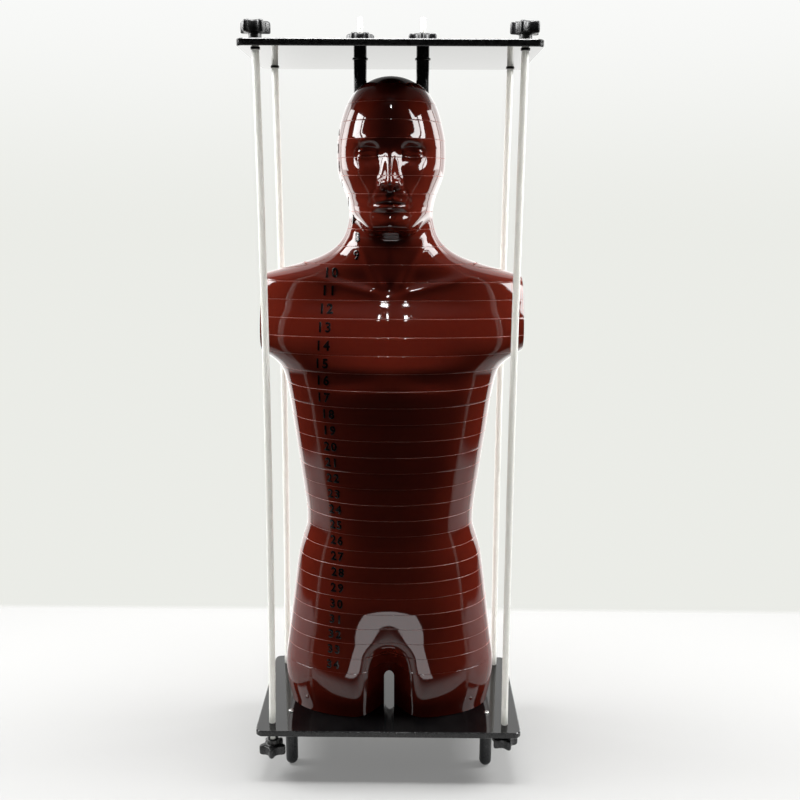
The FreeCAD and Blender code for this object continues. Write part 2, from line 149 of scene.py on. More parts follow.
class FigureSettings(bpy.types.PropertyGroup):
    """The sliced figure."""
    points: bpy.props.IntProperty(name="Points", description="Mesh points round a slice of the trunk",
                                  default=384, min=96, max=1024)
    row_height: bpy.props.FloatProperty(name="Row height", description="Height of a mesh row, in millimetres",
                                        default=2.2, min=0.5, max=10)
    face_row_height: bpy.props.FloatProperty(name="Head row height", default=1.25, min=0.4, max=10,
                                             description="Height of a mesh row in the head, in millimetres")
    edge: length("Broken edge", "Bevel on the edges of a slice", 0.0003)
    unevenness: length("Unevenness", "How far slices stand off true", 0.00012)
    number_height: length("Number height", "Height of a stamped number", 0.0135)
    number_relief: length("Number relief", "How far the numbers stand proud", 0.0006)
    resin: colour("Resin", "Colour of the cast resin", (0.150, 0.0165, 0.0072))
    resin_deep: colour("Resin, deeper", "Its darker mottling", (0.100, 0.0095, 0.0055))
    sawn: colour("Sawn edge", "Colour of the broken edges", (0.42, 0.15, 0.12))
    ink: colour("Number ink", "Colour of the numbers", (0.0012, 0.001, 0.001))


class StandSettings(bpy.types.PropertyGroup):
    """The stand: plates, rods, posts, knobs, legs and screws."""
    plate_chamfer: length("Plate chamfer", "Chamfer on the plates' edges", 0.0012)
    thread_pitch: length("Thread pitch", "Pitch of the rods' threads", 0.0015)
    thread_depth: length("Thread depth", "Depth of the threads", 0.00055)
    bow_left: length("Bow, figure's right", "How far the rods on that side sag inwards", 0.0040)
    bow_right: length("Bow, figure's left", "How far the rods on that side sag inwards", 0.0026)
    acrylic: colour("Plate", "Colour of the black plates", (0.0022, 0.0022, 0.0025))
    nylon: colour("Nylon", "Colour of the rods", (0.80, 0.80, 0.745))
    knob: colour("Knob", "Colour of the moulded knobs", (0.012, 0.012, 0.013))
    rubber: colour("Post and leg", "Colour of the posts and legs", (0.011, 0.012, 0.014))
    steel: colour("Screw", "Colour of the screws", (0.62, 0.61, 0.60))


class StageSettings(bpy.types.PropertyGroup):
    """Floor, lights and camera."""
    camera_place: bpy.props.FloatVectorProperty(name="Camera", description="Place of the camera", unit="LENGTH",
                                                subtype="TRANSLATION", default=(0.0244, -1.4431, 0.8940))
    camera_turn: bpy.props.FloatVectorProperty(
        name="Camera angles", description="Pitch down, yaw and roll", subtype="EULER",
        default=(math.radians(12.22), math.radians(0.38), math.radians(-0.3)))
    lens: bpy.props.FloatProperty(name="Lens", description="Focal length on a 36 mm sensor, in millimetres",
                                  default=43.11)
    floor: colour("Floor", "Colour of the floor", (0.30, 0.30, 0.297))
    floor_glow: strength("Floor fill", "Light the paper gives off by itself", 0.62)
    backdrop: colour("Backdrop", "Colour behind the object", (0.83, 0.84, 0.80))
    key: strength("Softboxes", "Power of the mirrored softboxes, in watts", 52.0)
    fill: strength("Side lights", "Power of the side lights, in watts", 52.0)
    glint: strength("Small lamp", "Power of the small lamp above the camera, in watts", 1.3)
    top: strength("Top light", "Power of the overhead light, in watts", 78.0)


def settings(name):
    return getattr(bpy.context.scene, name)


# ---- curves of the figure ----
def curve_through(rows, spread=4.0):
    """The value at every level, on a smooth curve through a table, evened out over spread millimetres."""
    h, v = np.array(rows, float).T
    slope = np.diff(v) / np.diff(h)
    product = slope[:-1] * slope[1:]
    total = slope[:-1] + slope[1:]
    middle = np.where(product > 0, 2 * product / np.where(product > 0, total, 1.0), 0.0)
    tangent = np.concatenate(([slope[0]], middle, [slope[-1]]))
    level = np.arange(0, REFERENCE_HEIGHT + LEVEL_STEP, LEVEL_STEP)
    i = np.clip(np.searchsorted(h, level, side="right") - 1, 0, len(h) - 2)
    run = h[i + 1] - h[i]
    t = np.clip((level - h[i]) / run, 0, 1)
    value = ((1 + 2 * t) * (1 - t) ** 2 * v[i] + t * (1 - t) ** 2 * run * tangent[i]
             + t * t * (3 - 2 * t) * v[i + 1] + t * t * (t - 1) * run * tangent[i + 1])
    reach = int(3 * spread / LEVEL_STEP)
    kernel = np.exp(-0.5 * (np.arange(-reach, reach + 1) * LEVEL_STEP / spread) ** 2)
    even = np.convolve(np.pad(value, reach, mode="edge"), kernel / kernel.sum(), mode="valid")
    share = np.clip((CROWN_START - level) / 25, 0, 1)
    return level, value + share * (even - value)


CURVES = {
    "width": curve_through(HALF_WIDTH, 5), "front": curve_through(FRONT, 2.5), "back": curve_through(BACK, 5),
    "widest": curve_through(WIDEST, 8), "square": curve_through(SQUARENESS, 8),
    "front_groove": curve_through(FRONT_GROOVE), "back_groove": curve_through(BACK_GROOVE),
    "nose": curve_through(NOSE, 1.2),
}


def at(curve, h):
    level, value = CURVES[curve]
    return np.interp(h, level, value)


def bell(distance, width):
    return np.exp(-(distance / width) ** 2)


def ease(t):
    t = np.clip(t, 0, 1)
    return t * t * (3 - 2 * t)


def face_relief(x, h):
    """How far the face stands out in front of the head's plain form."""
    side = np.abs(x)
    out = 2.2 * bell(h - 877 + 0.006 * np.maximum(side - 22, 0) ** 2, 5) * bell(side - 26, 18)
    out -= 0.8 * bell(x, 9) * bell(h - 868, 7)
    # eyes: a bulge under the brow with two lids
    over = (side - 31) / 14.5
    inside = np.clip(1 - over ** 2, 0, 1)
    out += 5.2 * inside ** 0.7 * bell(h - 856.5, 6.6)
    upper = 856.8 + 5.2 * inside ** 0.8 - 0.6 * over
    lower = 855.6 - 4.4 * inside ** 0.8 - 0.6 * over
    open_eye = ease(inside * 4)
    out += 0.5 * open_eye * bell(h - upper - 0.6, 1.4)
    out -= 0.6 * open_eye * bell(h - upper + 1.6, 1.2)
    out += 0.35 * open_eye * bell(h - lower + 0.6, 1.4)
    out -= 0.4 * open_eye * bell(h - lower - 1.4, 1.2)
    out -= 0.8 * open_eye * bell(h - upper - 4.6, 1.9)
    # nose wings, nostrils and the groove below
    out += 6.0 * bell(side - 12.5, 4.6) * bell(h - 817, 5.4)
    out -= 1.2 * bell(side - 18.5, 2.4) * bell(h - 818, 6)
    out -= 4.0 * bell(side - 6.6, 2.6) * bell(h - 808.6, 2.2)
    out -= 1.0 * bell(x, 2.6) * bell(h - 801, 5)
    out += 0.6 * bell(side - 5.4, 2.2) * bell(h - 801, 5.5)
    # lips
    lip = np.clip(1 - (side / 25) ** 2, 0, 1)
    out += 3.2 * lip * bell(h - 793.6 - 0.8 * bell(side - 6, 4) + 0.004 * side ** 2, 3.4)
    out += 3.8 * lip ** 0.8 * bell(h - 784.2, 4.0)
    out -= 2.4 * lip ** 0.5 * bell(h - 789 + 0.0012 * side ** 2, 1.2)
    out -= 1.3 * bell(side - 26.5, 3.6) * bell(h - 788, 4.2)
    out -= 0.9 * bell(x, 17) * bell(h - 775.5, 4)
    out += 2.2 * bell(x, 13) * bell(h - 762, 7.5)
    # cheeks, folds and temples
    out += 2.8 * bell(side - 46, 15) * bell(h - 832, 13)
    out -= 1.8 * bell(side - 44, 14) * bell(h - 798, 14)
    out -= 0.9 * bell(side - 20 - (812 - h) * 0.42, 3) * bell(h - 803, 10)
    out -= 1.2 * bell(side - 24, 12) * bell(h - 845, 5)
    return out


def trunk_relief(x, h):
    """Collar bones, throat and breast muscles on the trunk's plain form."""
    side = np.abs(x)
    bone = 662 + 0.22 * (side - 18)
    out = 2.6 * bell(h - bone, 6.5) * ease((side - 12) / 14) * ease((130 - side) / 40)
    out -= 1.6 * bell(h - bone - 15, 9) * ease((side - 20) / 20) * ease((110 - side) / 40)
    out -= 3.4 * bell(x, 10) * bell(h - 670, 9)
    cord = 12 + (h - 668) * 0.55
    out += 2.4 * bell(side - cord, 7) * ease((h - 664) / 12) * ease((748 - h) / 20)
    out += 1.6 * bell(x, 9) * bell(h - 716, 11)
    fold = 541 + 0.0016 * (side - 62) ** 2
    out -= 2.6 * bell(h - fold, 13) * bell(side - 66, 48)
    out -= 1.5 * bell(x, 11) * bell(h - 600, 46)
    out -= 0.8 * bell(x, 9) * bell(h - 430, 80)
    return out


def figure_surface(turn, h):
    """X, Y and height in millimetres of the outside, for arrays of turn (0 is the front) and height."""
    angle = 2 * np.pi * (turn - 0.25)
    c, s = np.cos(angle), np.sin(angle)
    power = 2 / at("square", h)
    middle = at("widest", h)
    x = at("width", h) * np.sign(c) * np.abs(c) ** power
    side = np.abs(x)
    climb = 24 * ease((side - 22) / 38) * bell(h - 762, 32)
    front = middle - (at("front", h - climb) + middle) * np.abs(s) ** power
    front += at("front_groove", h) * bell(x, 28)
    rise = np.clip((h - 812) / 50, 0, 1)
    front -= at("nose", h) * bell(x, 11 - 4 * rise)
    front += 10.5 * bell(side - 29, 15) * bell(h - 857, 12)
    facing = ease(np.abs(s) * 2.2)
    front -= (face_relief(x, h) * ease((h - 744) / 10) + trunk_relief(x, h) * ease((752 - h) / 10)) * facing
    back = middle + (at("back", h) - middle) * np.abs(s) ** power
    back -= at("back_groove", h) * bell(x, 22)
    back -= (2.2 * bell(x, 13) * bell(h - 420, 190) - 3 * bell(side - 70, 34) * bell(h - 600, 60)) * facing
    return x, np.where(s < 0, front, back), h


def figure_frame():
    """Scale of the figure's form to the packed slices, and the height of the bottom plate's top."""
    low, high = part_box(SLICES[-1])[0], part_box(SLICES[0])[1]
    wide = max(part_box(n)[1].x for n in SLICES) - min(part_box(n)[0].x for n in SLICES)
    deep_box = [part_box(n) for n in SLICES[12:30]]
    depth = max(b[1].y for b in deep_box) - min(b[0].y for b in deep_box)
    tall = high.z - low.z
    return (wide / MM / REFERENCE_WIDTH, depth / MM / REFERENCE_DEPTH, tall / MM / REFERENCE_HEIGHT, low.z)


# ---- mesh helpers ----
def add_object(name, mesh, body, nodes, materials, sharp=38):
    """Puts a mesh into the scene as a piece on a body, in place of its CAD nodes."""
    for material in materials:
        mesh.materials.append(material)
    mesh.polygons.foreach_set("use_smooth", [True] * len(mesh.polygons))
    mesh.set_sharp_from_angle(angle=math.radians(sharp))
    piece = bpy.data.objects.new(name, mesh)
    bpy.context.scene.collection.objects.link(piece)
    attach(piece, body)
    if nodes:
        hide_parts(*nodes)
    return piece


def skin(bm, rings, ends=True, loop=False, bands=None):
    """Faces between rings of points (metres). ends caps both ends; loop joins the last ring to the first."""
    made = [[bm.verts.new(p) for p in ring] for ring in rings]
    count = len(made[0])
    pairs = list(zip(made, made[1:])) + ([(made[-1], made[0])] if loop else [])
    for number, (a, b) in enumerate(pairs):
        for i in range(count):
            j = (i + 1) % count
            face = bm.faces.new((a[i], a[j], b[j], b[i]))
            face.material_index = bands[number] if bands else 0
    if ends and not loop:
        for ring, order in ((made[0], -1), (made[-1], 1)):
            face = bm.faces.new(ring[::order])
            face.material_index = bands[-1] if bands else 0
    return made


def circle(radius, z, x=0.0, y=0.0, count=64):
    """Ring of points; the radius may be an array with one value a point."""
    angle = np.arange(count) * 2 * np.pi / count
    radius = np.broadcast_to(radius, count)
    z = np.broadcast_to(z, count)
    return np.stack([x + radius * np.cos(angle), y + radius * np.sin(angle), z], axis=1)


def turned(bm, profile, x, y, count=64, loop=False):
    """Turned shape from (radius, z) rows, at x, y."""
    return skin(bm, [circle(r, z, x, y, count) for r, z in profile], loop=loop)


def threaded_rows(radius, low, high, pitch, depth, count, rows_per_turn=8):
    """Rings of a screw thread that fades out at both ends."""
    angle = np.arange(count) / count
    rows = max(4, int((high - low) / pitch * rows_per_turn))
    rings = []
    for i in range(rows + 1):
        z = low + (high - low) * i / rows
        phase = (z / pitch - angle) % 1.0
        groove = np.clip(1.35 - 2.7 * np.abs(phase - 0.5), 0, 1)
        fade = min(1.0, (z - low) / pitch, (high - z) / pitch)
        rings.append((radius - depth * groove * max(0.0, fade), z))
    return rings


def mesh_from(bm, name, turn_faces=True):
    """Mesh from a bmesh, which is freed; turn_faces makes all faces look outwards."""
    if turn_faces:
        bmesh.ops.recalc_face_normals(bm, faces=bm.faces)
    mesh = bpy.data.meshes.new(name)
    bm.to_mesh(mesh)
    bm.free()
    return mesh


def centre_of(node):
    low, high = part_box(node)
    return (low + high) / 2


# ---- materials ----
class Finish:
    """Short hand for one material's or group's node tree."""

    def __init__(self, tree):
        self.tree = tree

    def add(self, kind, inputs=None, **values):
        node = self.tree.nodes.new(kind)
        for name, value in values.items():
            setattr(node, name, value)
        for name, value in (inputs or {}).items():
            self.feed(node.inputs[name], value)
        return node

    def feed(self, socket, value):
        if isinstance(value, bpy.types.NodeSocket):
            self.tree.links.new(value, socket)
        else:
            socket.default_value = value

    def math(self, operation, a, b=0.0, c=0.0):
        node = self.add("ShaderNodeMath", operation=operation, use_clamp=False)
        for socket, value in zip(node.inputs, (a, b, c)):
            self.feed(socket, value)
        return node.outputs[0]

    def mix(self, share, a, b, mode="MIX"):
        node = self.add("ShaderNodeMix", data_type="RGBA", blend_type=mode)
        self.feed(node.inputs[0], share)
        for socket, value in ((node.inputs[6], a), (node.inputs[7], b)):
            self.feed(socket, value if isinstance(value, bpy.types.NodeSocket) else (*value, 1.0))
        return node.outputs[2]

    def blend(self, share, a, b):
        node = self.add("ShaderNodeMix", data_type="FLOAT")
        for socket, value in zip((node.inputs[0], node.inputs[2], node.inputs[3]), (share, a, b)):
            self.feed(socket, value)
        return node.outputs[0]

    def ramp(self, value, low, high, to_low=0.0, to_high=1.0):
        node = self.add("ShaderNodeMapRange", interpolation_type="SMOOTHSTEP")
        for name, v in (("Value", value), ("From Min", low), ("From Max", high), ("To Min", to_low),
                        ("To Max", to_high)):
            self.feed(node.inputs[name], v)
        return node.outputs[0]

    def noise(self, vector, scale, detail=3.0, roughness=0.5):
        return self.add("ShaderNodeTexNoise", {"Vector": vector, "Scale": scale, "Detail": detail,
                                               "Roughness": roughness}).outputs["Fac"]

    def group(self, name, **values):
        node = self.add("ShaderNodeGroup", node_tree=bpy.data.node_groups[name])
        for key, value in values.items():
            self.feed(node.inputs[key.replace("_", " ")], value)
        return node.outputs


def new_group(name, inputs, outputs):
    """Empty node group with named float or vector sockets; gives its Finish, inputs and output node."""
    tree = bpy.data.node_groups.new(name, "ShaderNodeTree")
    for label, kind, default in inputs:
        socket = tree.interface.new_socket(label, in_out="INPUT", socket_type="NodeSocket" + kind)
        if default is not None:
            socket.default_value = default
    for label in outputs:
        tree.interface.new_socket(label, in_out="OUTPUT", socket_type="NodeSocketFloat")
    f = Finish(tree)
    return f, f.add("NodeGroupInput").outputs, f.add("NodeGroupOutput").inputs


def make_groups():
    """The effects that several finishes share."""
    f, i, o = new_group("Mottle", [("Vector", "Vector", None), ("Size", "Float", 20.0),
                                   ("Contrast", "Float", 0.5)], ["Mask", "Height"])
    coarse = f.noise(i["Vector"], i["Size"], 4.0, 0.6)
    fine = f.noise(i["Vector"], f.math("MULTIPLY", i["Size"], 11.0), 2.0)
    both = f.math("ADD", f.math("MULTIPLY", coarse, 0.7), f.math("MULTIPLY", fine, 0.3))
    away = f.math("MULTIPLY", f.math("SUBTRACT", both, 0.5), f.math("MULTIPLY", i["Contrast"], 6.0))
    f.feed(o["Mask"], f.add("ShaderNodeClamp", {"Value": f.math("ADD", away, 0.5)}).outputs[0])
    f.feed(o["Height"], fine)

    f, i, o = new_group("Hairlines", [("Vector", "Vector", None), ("Size", "Float", 60.0),
                                      ("Amount", "Float", 0.5)], ["Mask"])
    total = None
    for turn, stretch in ((0.4, (0.3, 14, 6)), (1.9, (16, 0.35, 8)), (2.6, (7, 15, 0.3))):
        place = f.add("ShaderNodeMapping", {"Vector": i["Vector"], "Rotation": (turn, turn * 0.6, turn),
                                            "Scale": stretch}).outputs[0]
        line = f.ramp(f.noise(place, i["Size"], 0.0), 0.72, 0.76)
        total = line if total is None else f.math("MAXIMUM", total, line)
    f.feed(o["Mask"], f.math("MULTIPLY", total, i["Amount"]))

    f, i, o = new_group("Dust", [("Vector", "Vector", None), ("Amount", "Float", 0.3)], ["Mask"])
    normal = f.add("ShaderNodeNewGeometry").outputs["Normal"]
    up = f.add("ShaderNodeSeparateXYZ", {"Vector": normal}).outputs["Z"]
    lying = f.ramp(up, 0.3, 0.95)
    patches = f.ramp(f.noise(i["Vector"], 9.0, 5.0, 0.65), 0.4, 0.75)
    specks = f.ramp(f.noise(i["Vector"], 900.0, 1.0), 0.68, 0.78)
    film = f.math("ADD", f.math("MULTIPLY", patches, 0.35), specks)
    f.feed(o["Mask"], f.math("MULTIPLY", f.math("MULTIPLY", lying, film), i["Amount"]))

    f, i, o = new_group("Rubbed Edge", [("Vector", "Vector", None), ("Amount", "Float", 0.5)], ["Mask"])
    edge = f.add("ShaderNodeAttribute", attribute_name="rubbed").outputs["Fac"]
    broken = f.ramp(f.noise(i["Vector"], 140.0, 3.0, 0.7), 0.3, 0.65, 0.25, 1.0)
    f.feed(o["Mask"], f.math("MULTIPLY", f.math("MULTIPLY", edge, broken), i["Amount"]))


def new_finish(name, **constants):
    """A material with a Principled shader whose constant sockets are set, and the place on the piece."""
    material = bpy.data.materials.new(name)
    material.use_nodes = True
    material.node_tree.nodes.clear()
    f = Finish(material.node_tree)
    shader = f.add("ShaderNodeBsdfPrincipled", {k.replace("_", " "): v for k, v in constants.items()})
    f.feed(f.add("ShaderNodeOutputMaterial").inputs["Surface"], shader.outputs[0])
    return material, f, shader.inputs, f.add("ShaderNodeTexCoord").outputs["Object"]


def bump(f, sockets, height, distance, strength=1.0):
    node = f.add("ShaderNodeBump", {"Height": height, "Distance": distance, "Strength": strength})
    f.feed(sockets["Normal"], node.outputs[0])


def resin_finish():
    s = settings("phantom_figure")
    material, f, to, place = new_finish("polished_resin", IOR=1.5)
    cloud = f.group("Mottle", Vector=place, Size=7.0, Contrast=0.35)
    grain = f.group("Mottle", Vector=place, Size=160.0, Contrast=0.5)
    hair = f.group("Hairlines", Vector=place, Size=38.0, Amount=0.5)["Mask"]
    rubbed = f.group("Rubbed Edge", Vector=place, Amount=0.7)["Mask"]
    colour = f.mix(f.math("MULTIPLY", cloud["Mask"], 0.6), s.resin, s.resin_deep)
    colour = f.mix(f.math("MULTIPLY", grain["Mask"], 0.22), colour, s.resin_deep)
    colour = f.mix(rubbed, colour, s.sawn)
    f.feed(to["Base Color"], colour)
    f.feed(to["Roughness"], f.math("ADD", f.blend(grain["Mask"], 0.035, 0.06), f.math("MULTIPLY", hair, 0.10)))
    wave = f.noise(place, 16.0, 2.0)
    height = f.math("ADD", wave, f.math("MULTIPLY", grain["Height"], 0.012))
    bump(f, to, height, 0.0009, 0.30)
    return material


def sawn_finish():
    """The flat faces of a slice: rubbed dull, with saw marks."""
    s = settings("phantom_figure")
    material, f, to, place = new_finish("sawn_resin", IOR=1.5)
    marks = f.add("ShaderNodeTexWave", {"Vector": place, "Scale": 70.0, "Distortion": 3.0, "Detail": 2.0,
                                        "Detail Scale": 1.5}, wave_type="BANDS", bands_direction="Y")
    cloud = f.group("Mottle", Vector=place, Size=24.0, Contrast=0.5)
    colour = f.mix(cloud["Mask"], tuple(1.9 * v for v in s.resin), tuple(1.3 * v for v in s.resin))
    f.feed(to["Base Color"], f.mix(f.math("MULTIPLY", marks.outputs["Fac"], 0.25), colour, s.sawn))
    f.feed(to["Roughness"], f.blend(cloud["Mask"], 0.42, 0.6))
    bump(f, to, marks.outputs["Fac"], 0.00012, 0.6)
    return material


def edge_finish():
    s = settings("phantom_figure")
    material, f, to, place = new_finish("broken_edge", IOR=1.5)
    cloud = f.group("Mottle", Vector=place, Size=45.0, Contrast=1.0)
    near_resin = tuple(2.2 * v for v in s.resin)
    f.feed(to["Base Color"], f.mix(f.math("MULTIPLY", cloud["Mask"], 0.75), s.sawn, near_resin))
    f.feed(to["Roughness"], f.blend(cloud["Mask"], 0.30, 0.5))
    bump(f, to, cloud["Height"], 0.0001, 0.5)
    return material


def ink_finish():
    s = settings("phantom_figure")
    material, f, to, place = new_finish("number_ink", IOR=1.4)
    cloud = f.group("Mottle", Vector=place, Size=300.0, Contrast=0.8)
    f.feed(to["Base Color"], f.mix(f.math("MULTIPLY", cloud["Mask"], 0.08), s.ink, s.resin_deep))
    f.feed(to["Roughness"], f.blend(cloud["Mask"], 0.10, 0.20))
    bump(f, to, cloud["Height"], 0.0002, 0.4)
    return material


def acrylic_finish():
    s = settings("phantom_stand")
    material, f, to, place = new_finish("black_acrylic", IOR=1.5)
    hair = f.group("Hairlines", Vector=place, Size=30.0, Amount=0.3)["Mask"]
    dust = f.group("Dust", Vector=place, Amount=0.03)["Mask"]
    rubbed = f.group("Rubbed Edge", Vector=place, Amount=0.04)["Mask"]
    cloud = f.group("Mottle", Vector=place, Size=12.0, Contrast=0.6)["Mask"]
    colour = f.mix(dust, s.acrylic, (0.42, 0.40, 0.37))
    f.feed(to["Base Color"], f.mix(rubbed, colour, (0.5, 0.5, 0.5)))
    rough = f.math("ADD", f.blend(cloud, 0.050, 0.056), f.math("MULTIPLY", hair, 0.05))
    f.feed(to["Roughness"], f.math("ADD", rough, f.math("MULTIPLY", rubbed, 3.0)))
    bump(f, to, f.noise(place, 9.0, 0.0), 0.0002, 0.2)
    return material


def nylon_finish():
    s = settings("phantom_stand")
    # The rods carry a faint painted glow (emission), standing in for light through and round the nylon.
    material, f, to, place = new_finish("nylon_with_painted_glow", IOR=1.52, Subsurface_Weight=1.0,
                                        Subsurface_Radius=(1.0, 1.0, 1.0), Subsurface_Scale=0.02,
                                        Emission_Color=(1.0, 1.0, 0.93, 1.0), Emission_Strength=0.16)
    cloud = f.group("Mottle", Vector=place, Size=35.0, Contrast=0.5)
    stretched = f.add("ShaderNodeMapping", {"Vector": place, "Scale": (900.0, 900.0, 12.0)}).outputs[0]
    drawn = f.noise(stretched, 1.0, 2.0)
    hair = f.group("Hairlines", Vector=place, Size=60.0, Amount=0.6)["Mask"]
    yellowed = tuple(v * w for v, w in zip(s.nylon, (0.95, 0.93, 0.88)))
    colour = f.mix(f.math("MULTIPLY", cloud["Mask"], 0.5), s.nylon, yellowed)
    f.feed(to["Base Color"], f.mix(f.math("MULTIPLY", hair, 0.15), colour, (0.45, 0.44, 0.40)))
    f.feed(to["Roughness"], f.math("ADD", f.blend(drawn, 0.30, 0.44), f.math("MULTIPLY", hair, 0.1)))
    bump(f, to, drawn, 0.00012, 0.4)
    return material


def moulded_finish(name, colour, low, high, size):
    """Black moulding or turned bar: fine texture, scuffs and a little dust."""
    material, f, to, place = new_finish(name, IOR=1.5)
    skin_mask = f.group("Mottle", Vector=place, Size=size, Contrast=0.8)
    dust = f.group("Dust", Vector=place, Amount=0.12)["Mask"]
    hair = f.group("Hairlines", Vector=place, Size=70.0, Amount=0.7)["Mask"]
    rubbed = f.group("Rubbed Edge", Vector=place, Amount=0.12)["Mask"]
    tint = f.mix(f.math("MULTIPLY", skin_mask["Mask"], 0.4), colour, tuple(1.8 * v for v in colour))
    tint = f.mix(f.math("MAXIMUM", dust, rubbed), tint, (0.38, 0.37, 0.35))
    f.feed(to["Base Color"], tint)
    rough = f.blend(skin_mask["Mask"], low, high)
    f.feed(to["Roughness"], f.math("ADD", rough, f.math("MULTIPLY", hair, 0.12)))
    bump(f, to, skin_mask["Height"], 0.00012, 0.35)
    return material


def steel_finish():
    s = settings("phantom_stand")
    material, f, to, place = new_finish("screw_steel", Metallic=1.0)
    cloud = f.group("Mottle", Vector=place, Size=260.0, Contrast=0.8)
    hair = f.group("Hairlines", Vector=place, Size=240.0, Amount=0.8)["Mask"]
    f.feed(to["Base Color"], f.mix(f.math("MULTIPLY", cloud["Mask"], 0.35), s.steel, (0.34, 0.33, 0.32)))
    f.feed(to["Roughness"], f.math("ADD", f.blend(cloud["Mask"], 0.18, 0.36), f.math("MULTIPLY", hair, 0.15)))
    bump(f, to, hair, 0.00003, 0.5)
    return material


def finish(name):
    """A finish by name, made the first time it is asked for."""
    if not bpy.data.node_groups.get("Mottle"):
        make_groups()
    stand = settings("phantom_stand")
    makers = {
        "polished_resin": resin_finish, "sawn_resin": sawn_finish, "broken_edge": edge_finish,
        "number_ink": ink_finish, "black_acrylic": acrylic_finish, "nylon_with_painted_glow": nylon_finish,
        "knob_moulding": lambda: moulded_finish("knob_moulding", stand.knob, 0.22, 0.36, 420.0),
        "post_rubber": lambda: moulded_finish("post_rubber", stand.rubber, 0.14, 0.24, 90.0),
        "leg_rubber": lambda: moulded_finish("leg_rubber", stand.rubber, 0.24, 0.40, 240.0),
        "washer_fibre": lambda: moulded_finish("washer_fibre", stand.rubber, 0.30, 0.48, 600.0),
        "screw_steel": steel_finish,
    }
    return bpy.data.materials.get(name) or makers[name]()


def rub_edges(mesh, sharper_than=40):
    """Marks the points on sharp edges, for the rubbed-edge effect."""
    bm = bmesh.new()
    bm.from_mesh(mesh)
    layer = bm.verts.layers.float.new("rubbed")
    for edge in bm.edges:
        if len(edge.link_faces) == 2 and edge.calc_face_angle(0.0) > math.radians(sharper_than):
            for vert in edge.verts:
                vert[layer] = 1.0
    bm.to_mesh(mesh)
    bm.free()


# ---- the figure ----
def slice_rings(number, rows, points, edge, uneven):
    """Rings of one slice in metres, from its lower face to its upper, with both edges broken."""
    sx, sy, sz, base = figure_frame()
    box_low, box_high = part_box(SLICES[number])
    low, high = (box_low.z - base) / MM / sz, (box_high.z - base) / MM / sz
    step = edge / MM
    heights = np.linspace(low + step, high - step, rows + 1)
    if number == 0:
        crown = np.linspace(0, 1, rows + 18)
        heights = low + step + (high - low - step) * np.sin(crown * math.pi / 2) ** 0.9
        heights[-1] = high - 0.02
    u = np.arange(points) / points
    turn = u - (0.42 if number < 10 else 0.2) / (2 * math.pi) * np.sin(2 * math.pi * u)
    slant = uneven / MM * np.array([math.sin(number * 2.3), math.cos(number * 1.7), math.sin(number * 4.1)])
    rings = []
    for h in heights:
        x, y, z = figure_surface(turn, np.full(points, h))
        share = (h - low) / (high - low) - 0.5
        x = x * (1 + slant[2] / 160) + slant[0] * share * 2
        y = y + slant[1] * share * 2
        rings.append(np.stack([x * sx, y * sy, z * sz], axis=1))

    def drawn_in(ring, z):
        away = ring - np.roll(ring, 1, axis=0) + np.roll(ring, -1, axis=0) - ring
        normal = np.stack([away[:, 1], -away[:, 0]], axis=1)
        normal /= np.maximum(np.linalg.norm(normal, axis=1, keepdims=True), 1e-6)
        inner = ring.copy()
        inner[:, :2] -= normal * step
        inner[:, 2] = z
        return inner

    rings.insert(0, drawn_in(rings[0], low * sz))
    if number > 0:
        rings.append(drawn_in(rings[-1], high * sz))
    return [ring * MM + np.array([0, 0, base]) for ring in rings]


def cut_flat(bm, x):
    """Cuts an arm off with an upright plane at x and closes the mesh with a flat face."""
    outward = math.copysign(1.0, x)
    geometry = bm.verts[:] + bm.edges[:] + bm.faces[:]
    cut = bmesh.ops.bisect_plane(bm, geom=geometry, plane_co=(x, 0, 0), plane_no=(outward, 0, 0),
                                 clear_outer=True)
    rim = [e for e in cut["geom_cut"] if isinstance(e, bmesh.types.BMEdge)]
    for face in bmesh.ops.contextual_create(bm, geom=rim)["faces"]:
        face.normal_update()
        if face.normal.x * outward < 0:
            face.normal_flip()
        face.material_index = 0


def thigh_slot_cutter():
    """Block with a round top that opens the slot between the thigh stubs."""
    sx, _, sz, base = figure_frame()
    radius = THIGH_SLOT[0] / 2 * MM
    top = base + THIGH_SLOT[1] * MM * sz - radius
    outline = [(-radius, base - 0.02)] + [(-radius * math.cos(a), top + radius * math.sin(a))
                                          for a in np.linspace(0, math.pi, 25)] + [(radius, base - 0.02)]
    bm = bmesh.new()
    skin(bm, [[(x, y, z) for x, z in outline] for y in (-0.2, 0.2)])
    return mesh_from(bm, "slot_cutter")


